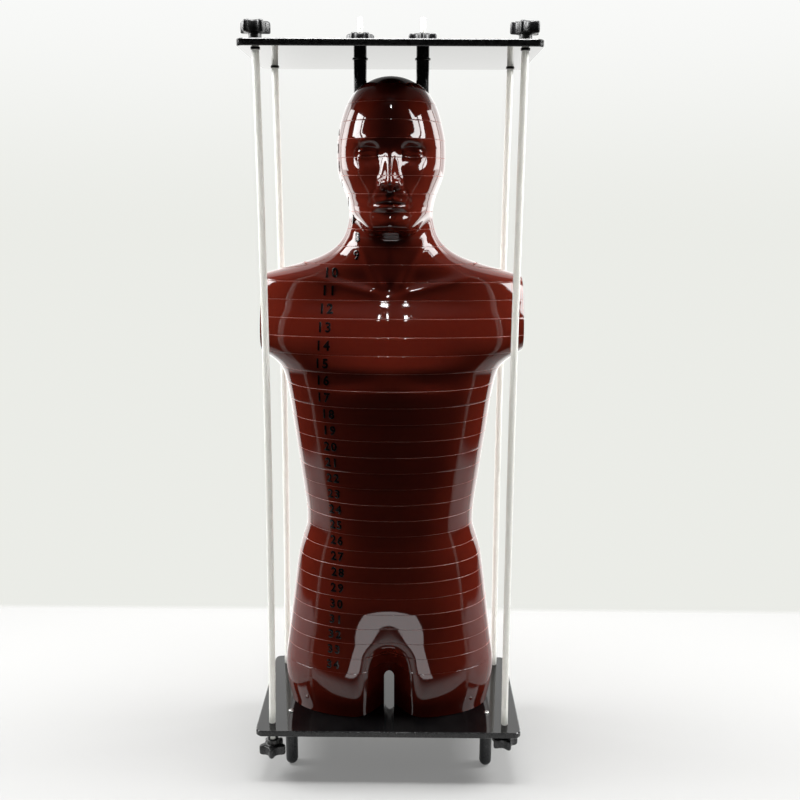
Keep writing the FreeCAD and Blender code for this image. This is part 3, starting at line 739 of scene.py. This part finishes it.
class PHANTOM_OT_figure(bpy.types.Operator):
    """Make the crown, the slices and the base of the figure"""
    bl_idname = "phantom.figure"
    bl_label = "Figure Slices"

    def execute(self, context):
        s = settings("phantom_figure")
        materials = [finish(n) for n in ("polished_resin", "broken_edge", "sawn_resin")]
        arms = (min(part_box(n)[0].x for n in SLICES), max(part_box(n)[1].x for n in SLICES))
        for number, node in enumerate(SLICES):
            low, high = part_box(node)
            head = number < 10
            row = s.face_row_height if head else s.row_height
            rows = max(6, int((high.z - low.z) / MM / row))
            points = int(s.points * 1.25) if head else s.points
            rings = slice_rings(number, rows, points, s.edge, s.unevenness)
            bands = [1] + [0] * (len(rings) - 3) + [1, 2]
            if number == 0:
                bands = [1] + [0] * (len(rings) - 2) + [2]
            bm = bmesh.new()
            skin(bm, rings, bands=bands)
            if number == 0:
                bm.faces.ensure_lookup_table()
                bm.faces[-1].material_index = 0
            for arm in arms:
                if any(abs(v.co.x) > abs(arm) + 1e-5 for v in bm.verts if v.co.x * arm > 0):
                    cut_flat(bm, arm)
            mesh = mesh_from(bm, node, False)
            if number == len(SLICES) - 1:
                mesh = self.open_slot(mesh)
            add_object("figure_" + node, mesh, BODY_OF[node], [node], materials, 36)
        return {"FINISHED"}

    @staticmethod
    def open_slot(mesh):
        """Cuts the slot between the thigh stubs out of the base."""
        whole = bpy.data.objects.new("base_blank", mesh)
        cutter = bpy.data.objects.new("slot_tool", thigh_slot_cutter())
        for blank in (whole, cutter):
            bpy.context.scene.collection.objects.link(blank)
        cut = whole.modifiers.new("slot", "BOOLEAN")
        cut.operation, cut.solver, cut.object = "DIFFERENCE", "EXACT", cutter
        graph = bpy.context.evaluated_depsgraph_get()
        opened = bpy.data.meshes.new_from_object(whole.evaluated_get(graph))
        for blank in (whole, cutter):
            bpy.data.objects.remove(blank)
        if len(opened.polygons) < 100:
            raise RuntimeError("the slot between the thigh stubs could not be cut")
        opened.materials.clear()
        return opened


class PHANTOM_OT_numbers(bpy.types.Operator):
    """Stamp the slices' numbers on the figure's right side"""
    bl_idname = "phantom.numbers"
    bl_label = "Slice Numbers"

    def execute(self, context):
        s = settings("phantom_figure")
        sx, sy, sz, base = figure_frame()
        turns = np.linspace(-0.32, 0.0, 1281)
        for number in range(2, len(SLICES) - 1):
            low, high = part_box(SLICES[number])
            middle = ((low.z + high.z) / 2 - base) / MM / sz
            glyphs = self.glyphs(str(number), s.number_height / MM)
            x0 = np.interp(number, *np.array(NUMBER_X, float).T)
            co = np.array([v.co for v in glyphs.vertices]).reshape(-1, 3)
            placed = np.zeros_like(co)
            for i, (u, v, depth) in enumerate(co):
                h = middle + v / sz
                x, y, _ = figure_surface(turns, np.full(len(turns), h))
                run = np.concatenate(([0], np.cumsum(np.hypot(np.diff(x * sx), np.diff(y * sy)))))
                start = np.interp(x0, x[np.argmin(x):], run[np.argmin(x):])
                t = np.interp(start + u, run, turns)
                (px, qx), (py, qy), _ = figure_surface(np.array([t - 4e-4, t + 4e-4]), np.full(2, h))
                out = np.array([(qy - py) * sy, -(qx - px) * sx])
                out /= np.linalg.norm(out)
                lift = s.number_relief / MM + depth - co[:, 2].max() if depth > 0 else -0.8
                placed[i] = ((px + qx) / 2 * sx + out[0] * lift, (py + qy) / 2 * sy + out[1] * lift, h * sz)
            glyphs.vertices.foreach_set("co", (placed * MM + np.array([0, 0, base])).ravel())
            glyphs.update()
            node = SLICES[number]
            add_object("number_%02d" % number, glyphs, BODY_OF[node], [], [finish("number_ink")], 30)
        return {"FINISHED"}

    @staticmethod
    def glyphs(text, height):
        """Closed mesh of the figures in a bold weight, centred, in millimetres, z telling front from back."""
        curve = bpy.data.curves.new("glyphs", "FONT")
        curve.body, curve.size, curve.align_x, curve.align_y = text, height * 1.38, "CENTER", "CENTER"
        curve.extrude, curve.resolution_u, curve.offset = 0.5, 3, 0.015 * height
        curve.bevel_depth, curve.bevel_resolution = 0.03 * height, 1
        curve.space_character = 1.25
        holder = bpy.data.objects.new("glyphs", curve)
        bpy.context.scene.collection.objects.link(holder)
        graph = bpy.context.evaluated_depsgraph_get()
        mesh = bpy.data.meshes.new_from_object(holder.evaluated_get(graph))
        bpy.data.objects.remove(holder)
        bm = bmesh.new()
        bm.from_mesh(mesh)
        bmesh.ops.remove_doubles(bm, verts=bm.verts, dist=0.001)
        bm.to_mesh(mesh)
        bm.free()
        mesh.materials.clear()
        return mesh


# ---- the stand ----
def plate_outline(inset, count=14):
    """Corner-rounded outline of a plate, drawn in by inset."""
    low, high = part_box("bottom_plate")
    half = (high - low) / 2
    points = []
    for corner, (cx, cy) in enumerate(((1, 1), (-1, 1), (-1, -1), (1, -1))):
        for i in range(count + 1):
            a = math.pi / 2 * (corner + i / count)
            r = PLATE_CORNER - inset
            points.append((cx * (half.x - PLATE_CORNER) + r * math.cos(a),
                           cy * (half.y - PLATE_CORNER) + r * math.sin(a)))
    return points


class PHANTOM_OT_plates(bpy.types.Operator):
    """Make the bottom and the top plate with chamfered, rubbed edges"""
    bl_idname = "phantom.plates"
    bl_label = "Plates"

    def execute(self, context):
        chamfer = settings("phantom_stand").plate_chamfer
        for node in ("bottom_plate", "top_plate"):
            low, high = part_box(node)
            rows = [(chamfer * 2, low.z), (chamfer, low.z), (0.0, low.z + chamfer), (0.0, high.z - chamfer),
                    (chamfer, high.z), (chamfer * 2, high.z)]
            bm = bmesh.new()
            skin(bm, [[(x, y, z) for x, y in plate_outline(inset)] for inset, z in rows])
            mesh = mesh_from(bm, node)
            rub_edges(mesh, 30)
            add_object("chamfered_" + node, mesh, BODY_OF[node], [node], [finish("black_acrylic")], 25)
        return {"FINISHED"}


class PHANTOM_OT_rods(bpy.types.Operator):
    """Make the four nylon tie rods with threaded ends"""
    bl_idname = "phantom.rods"
    bl_label = "Tie Rods"

    def execute(self, context):
        s = settings("phantom_stand")
        for corner in CORNERS:
            node = "tie_rod_" + corner
            low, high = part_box(node)
            x, y = centre_of(node).x, centre_of(node).y
            shank = (high.x - low.x) / 2
            thread = shank - SHOULDER
            foot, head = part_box("bottom_plate")[1].z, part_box("rod_washers")[0].z
            lower = threaded_rows(thread, low.z + LEAD_IN, foot, s.thread_pitch, s.thread_depth, 40)
            upper = threaded_rows(thread, head, high.z - LEAD_IN, s.thread_pitch, s.thread_depth, 40)
            rows = [(thread - LEAD_IN, low.z), (thread - 0.0009, low.z + 0.0002)] + lower
            rows += [(shank - 0.0004, foot), (shank, foot + 0.0004)]
            rows += [(shank, z) for z in np.linspace(foot + 0.02, head - 0.02, 60)]
            rows += [(shank, head - 0.0004), (shank - 0.0004, head)] + upper
            rows += [(thread - 0.0009, high.z - 0.0002), (thread - LEAD_IN, high.z)]
            inward = s.bow_left if x < 0 else -s.bow_right
            bm = bmesh.new()
            skin(bm, [circle(r, z, x + inward * self.bow((z - foot) / (head - foot)), y, 40) for r, z in rows])
            add_object("nylon_" + node, mesh_from(bm, node), BODY_OF[node], [node],
                       [finish("nylon_with_painted_glow")], 50)
        return {"FINISHED"}

    @staticmethod
    def bow(share):
        """Share of the full bow at a share of the rod's free length."""
        return math.sin(math.pi * min(1.0, max(0.0, share))) ** 0.8


class PHANTOM_OT_posts(bpy.types.Operator):
    """Make the two hold-down posts and their nylon studs"""
    bl_idname = "phantom.posts"
    bl_label = "Posts and Studs"

    def execute(self, context):
        s = settings("phantom_stand")
        crown = frame["nodes"][SLICES[0]].data
        crown = BVHTree.FromPolygons([v.co for v in crown.vertices], [p.vertices for p in crown.polygons])
        for side in ("left", "right"):
            node = "post_" + side
            low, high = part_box(node)
            x, y, radius = centre_of(node).x, centre_of(node).y, (high.x - low.x) / 2
            count = 72
            bm = bmesh.new()
            rings = []
            for share in (0.0, 0.35, 0.7, 0.9, 1.0):
                ring = circle(radius * share if share else radius * 0.02, low.z, x, y, count)
                for point in ring:
                    place = crown.ray_cast(Vector((point[0], point[1], high.z)), Vector((0, 0, -1)))[0]
                    point[2] = max(low.z, place.z + 0.0004) if place else low.z
                rings.append(ring)
            lip = rings[-1].copy()
            lip[:, 2] += 0.0006
            rings[-1][:, :2] += (np.array([x, y]) - rings[-1][:, :2]) * 0.05
            rings.append(lip)
            top = high.z
            for share in (0.25, 0.5, 0.75):
                ring = lip.copy()
                ring[:, 2] = lip[:, 2] + (top - 0.001 - lip[:, 2]) * share
                rings.append(ring)
            rings.append(circle(radius, top - 0.0008, x, y, count))
            rings.append(circle(radius - 0.0008, top, x, y, count))
            skin(bm, rings)
            mesh = mesh_from(bm, node)
            rub_edges(mesh)
            add_object("rubber_" + node, mesh, BODY_OF[node], [node], [finish("post_rubber")])
            node = "post_stud_" + side
            low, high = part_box(node)
            radius = (high.x - low.x) / 2
            rows = [(radius - LEAD_IN, low.z), (radius - 0.0009, low.z + 0.0002)]
            rows += threaded_rows(radius, low.z + LEAD_IN, high.z - LEAD_IN, s.thread_pitch, s.thread_depth, 40)
            rows += [(radius - 0.0009, high.z - 0.0002), (radius - LEAD_IN, high.z)]
            bm = bmesh.new()
            skin(bm, [circle(r, z, x, y, 40) for r, z in rows])
            add_object("nylon_" + node, mesh_from(bm, node), BODY_OF[node], [node],
                       [finish("nylon_with_painted_glow")], 50)
        return {"FINISHED"}


def star_ring(inset, z, turn, count=200):
    """Outline of a lobed knob, drawn in by inset and softened where scallop and rim meet."""
    angle = np.arange(count) * 2 * np.pi / count
    spacing = 2 * np.pi / KNOB_LOBES
    local = (angle - turn + np.pi / KNOB_LOBES + np.pi / 2) % spacing - spacing / 2
    across = SCALLOP_CENTRE * np.sin(np.abs(local))
    to_scallop = SCALLOP_CENTRE * np.cos(local) - np.sqrt(np.maximum(SCALLOP_RADIUS ** 2 - across ** 2, 0))
    reach = np.minimum(np.where(across < SCALLOP_RADIUS, to_scallop, KNOB_RADIUS), KNOB_RADIUS)
    reach = np.convolve(np.concatenate((reach[-3:], reach, reach[:3])), np.ones(7) / 7, mode="valid") - inset
    return np.stack([reach * np.cos(angle), reach * np.sin(angle), np.full(count, z)], axis=1)


class PHANTOM_OT_knobs(bpy.types.Operator):
    """Make the ten star knobs with hub, rounded lobes and a moulded dish in the top"""
    bl_idname = "phantom.knobs"
    bl_label = "Star Knobs"

    def execute(self, context):
        for node in sorted(n for n in frame["nodes"] if n.startswith("knob_")):
            self.knob(node)
        return {"FINISHED"}

    @staticmethod
    def knob(node):
        low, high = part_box(node)
        points = np.array([v.co for v in frame["nodes"][node].data.vertices]).reshape(-1, 3)
        shaft = centre_of(STUD_OF.get(node, "tie_rod_" + "_".join(node.split("_")[2:])))
        x, y = shaft.x, shaft.y
        down = node.startswith("knob_bottom")
        off = points[:, :2] - np.array([x, y])
        far = off[np.hypot(*off.T) > KNOB_RADIUS - 0.0001]
        turn = np.angle(np.exp(1j * KNOB_LOBES * np.arctan2(far[:, 1], far[:, 0])).mean()) / KNOB_LOBES
        head = high.z - low.z
        hub = head * HUB_SHARE
        inner = KNOB_BORE
        flip = -1 if down else 1
        start = high.z if down else low.z

        def ring(r, z):
            return circle(r, start + flip * z, x, y, 200)

        def star(inset, z):
            return star_ring(inset, start + flip * z, turn - math.pi / 2 + math.pi / KNOB_LOBES) + (x, y, 0)

        through = node.startswith("knob_post")
        rows = [ring(inner + 0.0008, 0), ring(0.0072, 0), ring(0.0081, 0.0003), ring(HUB_RADIUS, 0.0012)]
        rows += [ring(HUB_RADIUS, hub - 0.0008), ring(0.0094, hub - 0.0003), ring(0.0102, hub)]
        rows += [star(0.0022, hub), star(0.0011, hub + 0.0002), star(0.0004, hub + 0.0007),
                 star(0.0, hub + 0.0018), star(-0.0001, (hub + head) / 2), star(0.0, head - 0.0034),
                 star(0.0005, head - 0.0016), star(0.0016, head - 0.0005), star(0.0030, head)]
        rows += [ring(0.0108, head), ring(0.0102, head - 0.0005)]
        if through:
            rows += [ring(0.0068, head - 0.0007), ring(0.0062, head), ring(inner + 0.0006, head),
                     ring(inner, head - 0.0006), ring(inner, 0.0008)]
        else:
            rows += [ring(0.0066, head - 0.0007), ring(0.0060, head - 0.0003), ring(0.0012, head - 0.0003)]
            rows = [ring(0.0012, BLIND_DEPTH - 0.0003), ring(inner - 0.0002, BLIND_DEPTH),
                    ring(inner, BLIND_DEPTH - 0.0008), ring(inner, 0.0008)] + rows
        bm = bmesh.new()
        skin(bm, rows, ends=not through, loop=through)
        mesh = mesh_from(bm, node)
        rub_edges(mesh, 28)
        add_object("moulded_" + node, mesh, BODY_OF[node], [node], [finish("knob_moulding")], 32)


class PHANTOM_OT_legs(bpy.types.Operator):
    """Make the four ball-ended legs and the button-head screws that hold them"""
    bl_idname = "phantom.legs"
    bl_label = "Legs and Screws"

    def execute(self, context):
        low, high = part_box("legs")
        radius = LEG_RADIUS
        reach = Vector(((high.x - low.x) / 2 - radius, (high.y - low.y) / 2 - radius))
        legs, screws = bmesh.new(), bmesh.new()
        screw_low, screw_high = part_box("leg_screws")
        start = math.asin(LEG_FLAT / radius)
        for cx, cy in CORNERS.values():
            x, y = cx * reach.x, cy * reach.y
            sink = radius * math.cos(start)
            rows = [(radius * math.sin(a), sink - radius * math.cos(a))
                    for a in np.linspace(start, math.pi / 2, 16)]
            rows += [(radius, z) for z in np.linspace(sink + 0.004, high.z - 0.0012, 8)]
            rows += [(radius - 0.0004, high.z - 0.0004), (radius - 0.0012, high.z)]
            turned(legs, rows, x, y, 56)
            self.screw(screws, x, y, screw_low.z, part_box("bottom_plate")[1].z, screw_high.z)
        for bm, node, slot_name, name, kind in ((legs, "legs", "leg", "turned_legs", "leg_rubber"),
                                                (screws, "leg_screws", "screw", "socket_screws", "screw_steel")):
            mesh = mesh_from(bm, node)
            rub_edges(mesh)
            add_object(name, mesh, BODY_OF[node], [node], [finish(kind)])
        return {"FINISHED"}

    @staticmethod
    def screw(bm, x, y, low, seat, top):
        """Button-head screw with a hexagon socket, on bm at x, y."""
        count, head, shank = 48, SCREW_HEAD, SCREW_SHANK
        rows = [circle(shank - 0.0006, low, x, y, count)]
        rows += [circle(r, z, x, y, count) for r, z in
                 threaded_rows(shank, low + 0.0006, seat - 0.006, 0.0008, 0.0003, count, 6)]
        rows += [circle(shank, seat, x, y, count), circle(head, seat, x, y, count)]
        rim = seat + 0.0006
        rows += [circle(head - (1 - math.cos(a)) * head * 0.42, rim + (top - rim) * math.sin(a), x, y, count)
                 for a in np.linspace(0, math.pi / 2, 7)]
        angle = np.arange(count) * 2 * np.pi / count
        hexagon = SCREW_SOCKET / np.cos((angle + np.pi / 6) % (np.pi / 3) - np.pi / 6)
        rows += [circle(hexagon * 1.12, top, x, y, count), circle(hexagon, top - 0.0003, x, y, count),
                 circle(hexagon, top - 0.0015, x, y, count), circle(0.0002, top - 0.0018, x, y, count)]
        skin(bm, rows)


class PHANTOM_OT_washers(bpy.types.Operator):
    """Make the washers under the top plate"""
    bl_idname = "phantom.washers"
    bl_label = "Washers"

    def execute(self, context):
        for node, shafts in (("rod_washers", ["tie_rod_" + c for c in CORNERS]),
                             ("post_washers", ["post_stud_left", "post_stud_right"])):
            low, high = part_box(node)
            outside = high.x - max(centre_of(n).x for n in shafts)
            inside = WASHER_BORE
            bm = bmesh.new()
            for shaft in shafts:
                rows = [(inside, low.z + 0.0002), (inside + 0.0003, low.z), (outside - 0.0004, low.z),
                        (outside, low.z + 0.0004), (outside, high.z - 0.0004), (outside - 0.0004, high.z),
                        (inside, high.z)]
                turned(bm, rows, centre_of(shaft).x, centre_of(shaft).y, 56, loop=True)
            mesh = mesh_from(bm, node)
            rub_edges(mesh)
            add_object("pressed_" + node, mesh, BODY_OF[node], [node], [finish("washer_fibre")])
        return {"FINISHED"}


# ---- the stage ----
class PHANTOM_OT_stage(bpy.types.Operator):
    """Lay the pale floor, hang the soft lights and set up the camera"""
    bl_idname = "phantom.stage"
    bl_label = "Stage and Camera"

    def execute(self, context):
        s = settings("phantom_stage")
        self.camera(s)
        self.floor(s)
        self.sky(s)
        centre = (CAD_BOX[0] + CAD_BOX[1]) / 2
        aim = Vector((0, 0, centre.z + 0.30))
        self.lamp("left_softbox", (-1.57, -0.06, 1.85), aim, (0.85, 1.15), s.key).visible_diffuse = False
        self.lamp("right_softbox", (1.55, -0.36, 1.85), aim, (0.90, 1.15), s.key).visible_diffuse = False
        for side in (-1, 1):
            self.lamp("side_light", (side * 1.6, 0.15, 1.85), aim, (0.85, 1.15), s.fill).visible_glossy = False
        self.lamp("top_softbox", (0.0, -0.14, 2.7), Vector((0, -0.1, 0.8)), (1.3, 0.5), s.top)
        self.lamp("small_lamp", (0.03, -1.25, 2.30), aim, (0.04, 0.17), s.glint)
        context.scene.view_settings.view_transform = "Standard"
        return {"FINISHED"}

    @staticmethod
    def camera(s):
        data = bpy.data.cameras.new("camera")
        data.lens, data.sensor_width = s.lens, 36.0
        data.clip_start, data.clip_end = 0.05, 60.0
        camera = bpy.data.objects.new("camera", data)
        pitch, yaw, roll = s.camera_turn
        turn = Matrix.Rotation(yaw, 3, "Z") @ Matrix.Rotation(math.pi / 2 - pitch, 3, "X")
        turn = turn @ Matrix.Rotation(-roll, 3, "Z")
        camera.matrix_world = Matrix.Translation(s.camera_place) @ turn.to_4x4()
        bpy.context.scene.collection.objects.link(camera)
        bpy.context.scene.camera = camera

    @staticmethod
    def lamp(name, place, aim, size, watts):
        data = bpy.data.lights.new(name, "AREA")
        data.shape, data.size, data.size_y, data.energy = "RECTANGLE", size[0], size[1], watts
        lamp = bpy.data.objects.new(name, data)
        lamp.location = place
        lamp.rotation_euler = (aim - Vector(place)).to_track_quat("-Z", "Y").to_euler()
        bpy.context.scene.collection.objects.link(lamp)
        return lamp

    @staticmethod
    def floor(s):
        bm = bmesh.new()
        skin(bm, [circle(r, 0.0, 0, 0, 96) for r in (0.4, 1.2, 3.0, 8.0, 20.0)])
        bm.faces.ensure_lookup_table()
        bmesh.ops.delete(bm, geom=[bm.faces[-1]], context="FACES_ONLY")
        floor = bpy.data.objects.new("floor", mesh_from(bm, "floor"))
        bpy.context.scene.collection.objects.link(floor)
        material = bpy.data.materials.new("paper_floor")
        material.use_nodes = True
        material.node_tree.nodes.clear()
        f = Finish(material.node_tree)
        place = f.add("ShaderNodeTexCoord").outputs["Object"]
        axis = f.add("ShaderNodeSeparateXYZ", {"Vector": place}).outputs
        path = f.add("ShaderNodeLightPath").outputs
        aside = f.math("ABSOLUTE", axis["X"])
        distance = f.add("ShaderNodeVectorMath", {0: place}, operation="LENGTH").outputs["Value"]

        def emission(colour, power=1.0):
            return f.add("ShaderNodeEmission", {"Color": (*colour, 1.0), "Strength": power}).outputs[0]

        def over(mask, below, above):
            return f.add("ShaderNodeMixShader", {0: mask, 1: below, 2: above}).outputs[0]

        # paper near the object, and the plain backdrop colour beyond its edge
        lit = f.add("ShaderNodeBsdfDiffuse", {"Color": (*s.floor, 1.0)}).outputs[0]
        paper = f.add("ShaderNodeAddShader", {0: lit, 1: emission(s.floor, s.floor_glow)}).outputs[0]
        paper = over(f.ramp(axis["Y"], 0.50, 0.53), paper, emission(s.backdrop))
        # painted shade: the paper in front and far to the sides shows near-black to every ray but the camera's,
        # standing in for the dark room
        unseen = f.math("SUBTRACT", 1.0, path["Is Camera Ray"])
        painted_dark_room = f.math("MAXIMUM", f.ramp(axis["Y"], -0.24, -0.34), f.ramp(aside, 0.95, 1.25))
        shade = over(f.math("MULTIPLY", painted_dark_room, unseen), paper, emission((0.018, 0.017, 0.016)))
        # painted reflection: the ground behind and beside glows bright only to glossy rays, mirrored in the
        # figure's sides
        slant = f.ramp(f.math("DIVIDE", aside, f.math("MAXIMUM", axis["Y"], 0.01)), 0.10, 0.42, 1.5, 3.2)
        power = f.blend(f.ramp(distance, 1.5, 3.5), 1.9, slant)
        rear = f.math("SUBTRACT", axis["Y"], f.math("MULTIPLY", aside, 0.72))
        painted_ground_reflection = f.math("MULTIPLY", f.ramp(rear, 0.02, 0.12), path["Is Glossy Ray"])
        shade = over(painted_ground_reflection, shade, emission((1.0, 1.0, 0.98), power))
        # painted reflection: a bright patch on the floor in front, seen only by glossy rays, stands in for the
        # white floor mirrored in the thighs
        reflection_patch_x = f.ramp(aside, 0.175, 0.170)
        reflection_patch_y = f.math("MULTIPLY", f.ramp(axis["Y"], -0.66, -0.65), f.ramp(axis["Y"], -0.34, -0.35))
        shown = f.math("MULTIPLY", f.math("MULTIPLY", reflection_patch_x, reflection_patch_y), path["Is Glossy Ray"])
        shade = over(shown, shade, emission((1.0, 0.96, 0.97), 3.2))
        f.feed(f.add("ShaderNodeOutputMaterial").inputs["Surface"], shade)
        floor.data.materials.append(material)

    @staticmethod
    def sky(s):
        world = bpy.data.worlds.new("studio")
        world.use_nodes = True
        world.node_tree.nodes.clear()
        bpy.context.scene.world = world
        f = Finish(world.node_tree)
        ray = f.add("ShaderNodeTexCoord").outputs["Generated"]
        way = f.add("ShaderNodeSeparateXYZ", {"Vector": ray}).outputs
        flat = f.math("SQRT", f.math("ADD", f.math("MULTIPLY", way["X"], way["X"]),
                                     f.math("MULTIPLY", way["Y"], way["Y"])))
        rear = f.math("DIVIDE", way["Y"], f.math("MAXIMUM", flat, 0.001))
        seen = f.mix(f.ramp(way["Z"], -0.05, 0.22), s.backdrop, (0.955, 0.96, 0.95))
        path = f.add("ShaderNodeLightPath").outputs
        behind = f.math("MULTIPLY", f.ramp(rear, 0.50, 0.56), 1.6)
        # painted reflection: bright bands to the sides and behind, seen only by glossy rays, mirrored along the
        # figure's and head's edges
        glossy_only_wings = f.math("MULTIPLY", f.ramp(rear, 0.50, 0.53), f.ramp(rear, 0.995, 0.60))
        glossy_only_wings = f.math("MULTIPLY", glossy_only_wings, f.ramp(way["Z"], 0.80, 0.60))
        glossy_only_wings = f.math("MULTIPLY", glossy_only_wings, path["Is Glossy Ray"])
        over = f.math("MULTIPLY", f.ramp(way["Z"], 0.75, 0.95), 0.25)
        glow = f.math("MAXIMUM", f.math("MAXIMUM", behind, f.math("MULTIPLY", glossy_only_wings, 6.0)), over)
        glow = f.math("ADD", glow, 0.02)
        bounce = (1.0, 1.0, 0.985, 1.0)
        camera_sky = f.add("ShaderNodeBackground", {"Color": seen, "Strength": 1.0}).outputs[0]
        other_sky = f.add("ShaderNodeBackground", {"Color": bounce, "Strength": glow}).outputs[0]
        both = f.add("ShaderNodeMixShader", {0: path["Is Camera Ray"], 1: other_sky, 2: camera_sky}).outputs[0]
        f.feed(f.add("ShaderNodeOutputWorld").inputs["Surface"], both)


class PHANTOM_PT_panel(bpy.types.Panel):
    """Sizes and colours of the phantom, and its pieces"""
    bl_idname = "PHANTOM_PT_panel"
    bl_label = "Torso Phantom"
    bl_space_type = "VIEW_3D"
    bl_region_type = "UI"
    bl_category = "Phantom"

    def draw(self, context):
        for name, group in GROUPS.items():
            box = self.layout.box()
            box.label(text=group.__doc__)
            for prop in group.__annotations__:
                box.prop(getattr(context.scene, name), prop)
        for operator in OPERATORS:
            self.layout.operator(operator.bl_idname)


GROUPS = {"phantom_figure": FigureSettings, "phantom_stand": StandSettings, "phantom_stage": StageSettings}
OPERATORS = (PHANTOM_OT_stage, PHANTOM_OT_figure, PHANTOM_OT_numbers, PHANTOM_OT_plates, PHANTOM_OT_rods,
             PHANTOM_OT_posts, PHANTOM_OT_knobs, PHANTOM_OT_legs, PHANTOM_OT_washers)


def register():
    for cls in (*GROUPS.values(), *OPERATORS, PHANTOM_PT_panel):
        bpy.utils.register_class(cls)
    for name, group in GROUPS.items():
        setattr(bpy.types.Scene, name, bpy.props.PointerProperty(type=group))


def unregister():
    for name in GROUPS:
        delattr(bpy.types.Scene, name)
    for cls in reversed((*GROUPS.values(), *OPERATORS, PHANTOM_PT_panel)):
        bpy.utils.unregister_class(cls)


def main():
    register()
    for operator in OPERATORS:
        category, name = operator.bl_idname.split(".")
        getattr(getattr(bpy.ops, category), name)()


if __name__ == "__main__":
    main()
